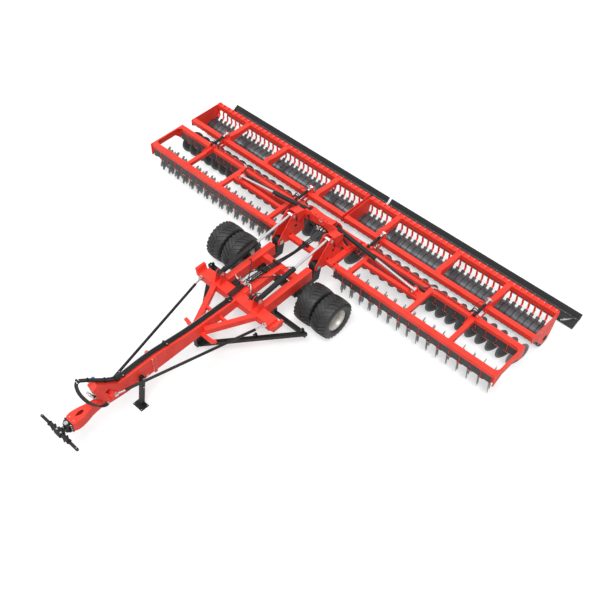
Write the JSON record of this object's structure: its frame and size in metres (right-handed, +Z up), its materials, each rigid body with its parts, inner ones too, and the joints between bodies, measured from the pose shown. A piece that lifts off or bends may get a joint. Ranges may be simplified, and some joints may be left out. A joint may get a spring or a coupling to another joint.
{
  "type": "trailed folding disc harrow",
  "caption": "Trailed folding disc harrow: disc rows, packer rollers and drag boards on folding wings behind a wheeled drawbar chassis.",
  "frame": {"origin": "on the ground under the middle of the whole machine", "axes": "+Z up, +Y to the rear (against the direction of travel), +X to the machine's left-hand wing"},
  "size_m": [12.48, 11.4, 2.0679],
  "materials": {
    "red_paint": "satin red powder coat over welded steel",
    "black_paint": "satin black paint",
    "disc_steel": "dark hardened disc steel with dark painted arms",
    "packer_steel": "dark painted steel drum with rings",
    "chrome_rod": "hard chromed ground rod",
    "tyre_rubber": "matt black flotation tyre rubber",
    "rim_paint": "silver-white painted steel rim",
    "hose_rubber": "matt black hydraulic hose"
  },
  "bodies": {
    "chassis": {"chassis_frame": "red_paint", "drawbar": "red_paint", "lower_frame": "black_paint", "axle_frame": "black_paint", "drawbar_hoses": "hose_rubber", "hose_arm": "black_paint", "hose_loop": "hose_rubber", "left_tension_rod": "black_paint", "right_tension_rod": "black_paint"},
    "tongue": {"tongue": "red_paint"},
    "hitch": {"hitch_crossbar": "black_paint"},
    "stand": {"parking_stand": "black_paint"},
    "centre": {"centre_frame": "red_paint", "fold_arch": "red_paint", "centre_disc_row": "disc_steel"},
    "lift_barrels": {"left_lift_barrel": "black_paint", "right_lift_barrel": "black_paint"},
    "lift_rods": {"left_lift_rod": "chrome_rod", "right_lift_rod": "chrome_rod"},
    "left_wheels": {"left_inner_tyre": "tyre_rubber", "left_outer_tyre": "tyre_rubber", "left_wheel_rims": "rim_paint"},
    "left_wing": {"left_wing_front_beam": "red_paint", "left_wing_rear_beam": "red_paint", "left_wing_end_plate": "red_paint", "left_wing_truss": "red_paint", "left_front_disc_row": "disc_steel", "left_rear_disc_row": "disc_steel"},
    "left_fold_barrel": {"left_fold_barrel": "black_paint"},
    "left_fold_rod": {"left_fold_rod": "chrome_rod"},
    "left_roller_frame": {"left_roller_frame": "red_paint"},
    "left_packer": {"left_packer_roller": "packer_steel"},
    "left_board": {"left_drag_board": "black_paint"},
    "left_depth_barrels": {"left_inner_depth_barrel": "black_paint", "left_outer_depth_barrel": "black_paint"},
    "left_depth_rods": {"left_inner_depth_rod": "chrome_rod", "left_outer_depth_rod": "chrome_rod"},
    "right_wheels": {"right_inner_tyre": "tyre_rubber", "right_outer_tyre": "tyre_rubber", "right_wheel_rims": "rim_paint"},
    "right_wing": {"right_wing_front_beam": "red_paint", "right_wing_rear_beam": "red_paint", "right_wing_end_plate": "red_paint", "right_wing_truss": "red_paint", "right_front_disc_row": "disc_steel", "right_rear_disc_row": "disc_steel"},
    "right_fold_barrel": {"right_fold_barrel": "black_paint"},
    "right_fold_rod": {"right_fold_rod": "chrome_rod"},
    "right_roller_frame": {"right_roller_frame": "red_paint"},
    "right_packer": {"right_packer_roller": "packer_steel"},
    "right_board": {"right_drag_board": "black_paint"},
    "right_depth_barrels": {"right_inner_depth_barrel": "black_paint", "right_outer_depth_barrel": "black_paint"},
    "right_depth_rods": {"right_inner_depth_rod": "chrome_rod", "right_outer_depth_rod": "chrome_rod"}
  },
  "joints": [
    {"name": "tongue_pitch", "type": "hinge", "parent": "chassis", "child": "tongue", "pos_m": [0, -4.42, 0.86], "axis": [1, 0, 0], "range_deg": [-8, 8]},
    {"name": "hitch_yaw", "type": "hinge", "parent": "tongue", "child": "hitch", "pos_m": [0, -5.41, 0.9], "axis": [0, 0, 1], "range_deg": [-60, 60]},
    {"name": "stand_swing", "type": "hinge", "parent": "chassis", "child": "stand", "pos_m": [0.165, -3.43, 0.88], "axis": [1, 0, 0], "range_deg": [0, 60]},
    {"name": "lift", "type": "hinge", "parent": "chassis", "child": "centre", "pos_m": [0, 1.81, 0.95], "axis": [1, 0, 0], "range_deg": [0, 90]},
    {"name": "lift_barrel_tilt", "type": "hinge", "parent": "chassis", "child": "lift_barrels", "pos_m": [0.65, -0.19, 1.262], "axis": [1, 0, 0], "range_deg": [-1, 2]},
    {"name": "lift_rod_slide", "type": "slide", "parent": "lift_barrels", "child": "lift_rods", "axis": [0, 0.9949, 0.1006], "range_m": [-1.06, 0]},
    {"name": "left_wheels_spin", "type": "hinge", "parent": "chassis", "child": "left_wheels", "pos_m": [1.583, 1.106, 0.537], "axis": [1, 0, 0], "continuous": true},
    {"name": "left_fold", "type": "hinge", "parent": "centre", "child": "left_wing", "pos_m": [1.05, 2.66, 0.88], "axis": [0, -1, 0], "range_deg": [0, 90]},
    {"name": "left_fold_barrel_tilt", "type": "hinge", "parent": "centre", "child": "left_fold_barrel", "pos_m": [0.47, 2.835, 1.4], "axis": [0, -1, 0], "range_deg": [-1, 84]},
    {"name": "left_fold_rod_slide", "type": "slide", "parent": "left_fold_barrel", "child": "left_fold_rod", "axis": [0.9887, 0, -0.1499], "range_m": [-1.08, 0]},
    {"name": "left_roller_tilt", "type": "hinge", "parent": "left_wing", "child": "left_roller_frame", "pos_m": [3, 3.37, 0.8], "axis": [1, 0, 0], "range_deg": [-8, 8]},
    {"name": "left_depth_barrel_tilt", "type": "hinge", "parent": "left_wing", "child": "left_depth_barrels", "pos_m": [3, 3.19, 1.035], "axis": [1, 0, 0], "range_deg": [-8, 8]},
    {"name": "left_depth_rod_slide", "type": "slide", "parent": "left_depth_barrels", "child": "left_depth_rods", "axis": [0, 0.9957, 0.0928], "range_m": [-0.06, 0.06]},
    {"name": "left_packer_spin", "type": "hinge", "parent": "left_roller_frame", "child": "left_packer", "pos_m": [3, 4.36, 0.275], "axis": [1, 0, 0], "continuous": true},
    {"name": "left_board_swing", "type": "hinge", "parent": "left_roller_frame", "child": "left_board", "pos_m": [3, 4.75, 0.76], "axis": [1, 0, 0], "range_deg": [-10, 20]},
    {"name": "right_wheels_spin", "type": "hinge", "parent": "chassis", "child": "right_wheels", "pos_m": [-1.583, 1.106, 0.537], "axis": [1, 0, 0], "continuous": true},
    {"name": "right_fold", "type": "hinge", "parent": "centre", "child": "right_wing", "pos_m": [-1.05, 2.66, 0.88], "axis": [0, 1, 0], "range_deg": [0, 90]},
    {"name": "right_fold_barrel_tilt", "type": "hinge", "parent": "centre", "child": "right_fold_barrel", "pos_m": [-0.47, 2.835, 1.4], "axis": [0, 1, 0], "range_deg": [-1, 84]},
    {"name": "right_fold_rod_slide", "type": "slide", "parent": "right_fold_barrel", "child": "right_fold_rod", "axis": [-0.9887, 0, -0.1499], "range_m": [-1.08, 0]},
    {"name": "right_roller_tilt", "type": "hinge", "parent": "right_wing", "child": "right_roller_frame", "pos_m": [-3, 3.37, 0.8], "axis": [1, 0, 0], "range_deg": [-8, 8]},
    {"name": "right_depth_barrel_tilt", "type": "hinge", "parent": "right_wing", "child": "right_depth_barrels", "pos_m": [-3, 3.19, 1.035], "axis": [1, 0, 0], "range_deg": [-8, 8]},
    {"name": "right_depth_rod_slide", "type": "slide", "parent": "right_depth_barrels", "child": "right_depth_rods", "axis": [0, 0.9957, 0.0928], "range_m": [-0.06, 0.06]},
    {"name": "right_packer_spin", "type": "hinge", "parent": "right_roller_frame", "child": "right_packer", "pos_m": [-3, 4.36, 0.275], "axis": [1, 0, 0], "continuous": true},
    {"name": "right_board_swing", "type": "hinge", "parent": "right_roller_frame", "child": "right_board", "pos_m": [-3, 4.75, 0.76], "axis": [1, 0, 0], "range_deg": [-10, 20]}
  ],
  "couplings": [
    {"joint": "lift_barrel_tilt", "follows": "lift", "ratio": 0.010803},
    {"joint": "lift_rod_slide", "follows": "lift", "m_per_rad": -0.66695},
    {"joint": "left_fold_barrel_tilt", "follows": "left_fold", "ratio": 0.90622},
    {"joint": "left_fold_rod_slide", "follows": "left_fold", "m_per_rad": -0.67612},
    {"joint": "left_depth_barrel_tilt", "follows": "left_roller_tilt", "ratio": 0.73547},
    {"joint": "left_depth_rod_slide", "follows": "left_roller_tilt", "m_per_rad": -0.25035},
    {"joint": "right_fold_barrel_tilt", "follows": "right_fold", "ratio": 0.90622},
    {"joint": "right_fold_rod_slide", "follows": "right_fold", "m_per_rad": -0.67612},
    {"joint": "right_depth_barrel_tilt", "follows": "right_roller_tilt", "ratio": 0.73547},
    {"joint": "right_depth_rod_slide", "follows": "right_roller_tilt", "m_per_rad": -0.25035}
  ]
}
